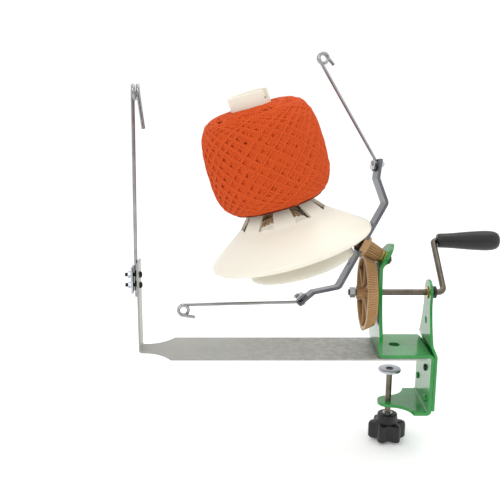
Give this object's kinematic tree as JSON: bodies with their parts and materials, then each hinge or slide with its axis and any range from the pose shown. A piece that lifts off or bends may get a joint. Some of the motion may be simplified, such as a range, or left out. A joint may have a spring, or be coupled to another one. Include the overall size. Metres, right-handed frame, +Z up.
{
  "type": "yarn ball winder",
  "caption": "Table-clamped hand-cranked yarn ball winder: a bevel-geared flyer with hooked wires winds yarn onto a tilted plastic cone.",
  "frame": {"origin": "on the base plate's underside, which rests on the table, on the axis of the clamp screw", "axes": "+Z up out of the table, +X along the crank shaft towards the crank, +Y to the back"},
  "size_m": [0.5085, 0.2108, 0.5134],
  "materials": {
    "grey_lacquer": "satin grey lacquer on sheet steel",
    "green_paint": "glossy green powder coat",
    "bright_wire": "polished bright steel",
    "zinc": "bright zinc plate",
    "black_steel": "black oxide",
    "brass": "turned brass",
    "rod_steel": "bare drawn rod",
    "arm_steel": "plated flat bar",
    "tan_nylon": "moulded nylon",
    "ivory_plastic": "moulded ivory plastic",
    "black_plastic": "moulded black plastic",
    "orange_yarn": "wound worsted yarn"
  },
  "bodies": {
    "root": {"base_plate": "grey_lacquer", "guide_post": "bright_wire", "post_clamp_plate": "zinc", "post_bolt_upper": "black_steel", "post_bolt_lower": "black_steel", "post_nut_upper": "zinc", "post_nut_lower": "zinc", "main_bracket": "green_paint", "crank_support": "green_paint", "support_rivet_front": "green_paint", "support_rivet_rear": "green_paint", "support_bolt": "black_steel", "shaft_bush_left": "brass", "shaft_bush_right": "brass", "spindle": "bright_wire", "spindle_nut": "black_steel", "thrust_washer": "brass", "gear_guard": "ivory_plastic", "guard_nut": "zinc"},
    "crank": {"crank_rod": "rod_steel", "crank_collar": "black_plastic", "gear_nut": "zinc", "drive_gear": "tan_nylon"},
    "grip": {"grip": "black_plastic"},
    "flyer": {"flyer_pinion": "tan_nylon", "flyer_arm": "arm_steel", "flyer_collar": "black_plastic", "hook_wire_upper": "bright_wire", "hook_wire_lower": "bright_wire", "hook_clamp_upper": "zinc", "hook_clamp_lower": "zinc", "hook_bolt_upper": "zinc", "hook_bolt_lower": "zinc", "hook_nut_upper": "zinc", "hook_nut_lower": "zinc", "hub_pinion": "tan_nylon"},
    "cone": {"cone": "ivory_plastic", "cone_bush_lower": "tan_nylon", "cone_bush_upper": "tan_nylon", "ring_gear": "tan_nylon", "yarn_ball": "orange_yarn"},
    "clamp_pad": {"clamp_pad": "zinc"},
    "clamp_screw": {"clamp_screw": "zinc", "clamp_knob": "black_plastic", "knob_insert": "bright_wire"}
  },
  "joints": [
    {"name": "crank_turn", "type": "hinge", "parent": "root", "child": "crank", "pos_m": [0, 0, 0.08], "axis": [1, 0, 0], "continuous": true},
    {"name": "grip_spin", "type": "hinge", "parent": "crank", "child": "grip", "pos_m": [0.12, 0.07327, 0.13226], "axis": [1, 0, 0], "continuous": true},
    {"name": "flyer_spin", "type": "hinge", "parent": "root", "child": "flyer", "pos_m": [0.066, 0, 0.08], "axis": [-0.866, 0, 0.5], "continuous": true},
    {"name": "cone_spin", "type": "hinge", "parent": "root", "child": "cone", "pos_m": [-0.1544, 0, 0.20725], "axis": [-0.284, 0, 0.9588], "continuous": true},
    {"name": "clamp_travel", "type": "slide", "parent": "root", "child": "clamp_pad", "axis": [0, 0, 1], "range_m": [-0.02, 0.0125]},
    {"name": "clamp_turn", "type": "hinge", "parent": "clamp_pad", "child": "clamp_screw", "pos_m": [0, 0, -0.08], "axis": [0, 0, 1], "range_deg": [-5760, 3600]}
  ],
  "couplings": [
    {"joint": "flyer_spin", "follows": "crank_turn", "ratio": 4.8},
    {"joint": "cone_spin", "follows": "crank_turn", "ratio": 0.85714},
    {"joint": "clamp_travel", "follows": "clamp_turn", "m_per_rad": 0.00019894}
  ]
}
